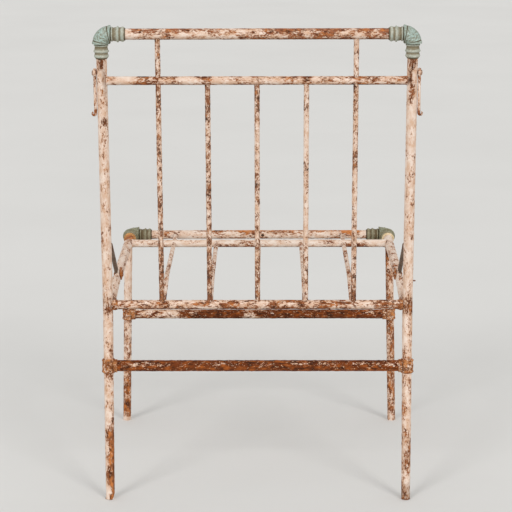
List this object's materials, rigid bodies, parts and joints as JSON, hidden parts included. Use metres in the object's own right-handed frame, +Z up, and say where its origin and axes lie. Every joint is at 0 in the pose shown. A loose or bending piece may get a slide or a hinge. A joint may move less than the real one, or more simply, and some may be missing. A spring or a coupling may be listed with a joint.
{
  "type": "outdoor iron chair",
  "caption": "Tall backed outdoor seat of painted iron tube and bar, with cast elbows, beaded sleeves, riveted side braces and swinging side hooks.",
  "frame": {"origin": "on the floor, in the middle of the chair's outline", "axes": "+Z up, +Y towards the front of the seat, +X to the right of someone behind the chair"},
  "size_m": [0.6958, 0.6154, 1.0338],
  "materials": {
    "painted_iron": "old cream paint, chipped and rust stained",
    "rusted_iron": "mostly rust with a few chips of cream paint",
    "bare_iron": "bare dark iron",
    "cast_iron": "orange brown rust on a cast surface",
    "green_bronze": "green grey corroded copper alloy"
  },
  "bodies": {
    "chair_frame": {"left_back_post": "painted_iron", "right_back_post": "painted_iron", "back_top_rail": "painted_iron", "back_mid_rail": "painted_iron", "back_bar_1": "rusted_iron", "back_bar_2": "rusted_iron", "back_bar_3": "rusted_iron", "back_bar_4": "rusted_iron", "back_bar_5": "rusted_iron", "left_back_elbow": "green_bronze", "right_back_elbow": "green_bronze", "left_back_post_sleeve": "green_bronze", "right_back_post_sleeve": "green_bronze", "left_top_rail_sleeve": "green_bronze", "right_top_rail_sleeve": "green_bronze", "rear_stretcher": "rusted_iron", "left_rear_collar": "cast_iron", "right_rear_collar": "cast_iron", "seat_rear_rail": "rusted_iron", "left_rail_knuckle": "cast_iron", "right_rail_knuckle": "cast_iron", "left_seat_side_tube": "painted_iron", "right_seat_side_tube": "painted_iron", "left_seat_side_link": "painted_iron", "right_seat_side_link": "painted_iron", "left_knee_rivet": "rusted_iron", "right_knee_rivet": "rusted_iron", "left_side_brace": "bare_iron", "right_side_brace": "bare_iron", "seat_front_rail": "painted_iron", "left_front_elbow": "green_bronze", "right_front_elbow": "green_bronze", "left_front_rail_sleeve": "green_bronze", "right_front_rail_sleeve": "green_bronze", "left_side_tube_sleeve": "green_bronze", "right_side_tube_sleeve": "green_bronze", "seat_cross_rail": "painted_iron", "seat_bar_1": "painted_iron", "seat_bar_2": "painted_iron", "seat_bar_3": "painted_iron", "seat_bar_4": "painted_iron", "seat_bar_5": "painted_iron", "left_front_leg": "painted_iron", "right_front_leg": "painted_iron", "front_stretcher": "rusted_iron", "left_front_collar": "cast_iron", "right_front_collar": "cast_iron", "left_hook_stud": "rusted_iron", "right_hook_stud": "rusted_iron", "right_post_pin": "rusted_iron"},
    "left_hook": {"left_hook": "painted_iron"},
    "right_hook": {"right_hook": "painted_iron"}
  },
  "joints": [
    {"name": "left_hook_swing", "type": "hinge", "parent": "chair_frame", "child": "left_hook", "pos_m": [-0.33905, -0.26018, 0.934], "axis": [1, 0, 0], "range_deg": [-155, 155]},
    {"name": "right_hook_swing", "type": "hinge", "parent": "chair_frame", "child": "right_hook", "pos_m": [0.33905, -0.26018, 0.934], "axis": [1, 0, 0], "range_deg": [-155, 155]}
  ]
}
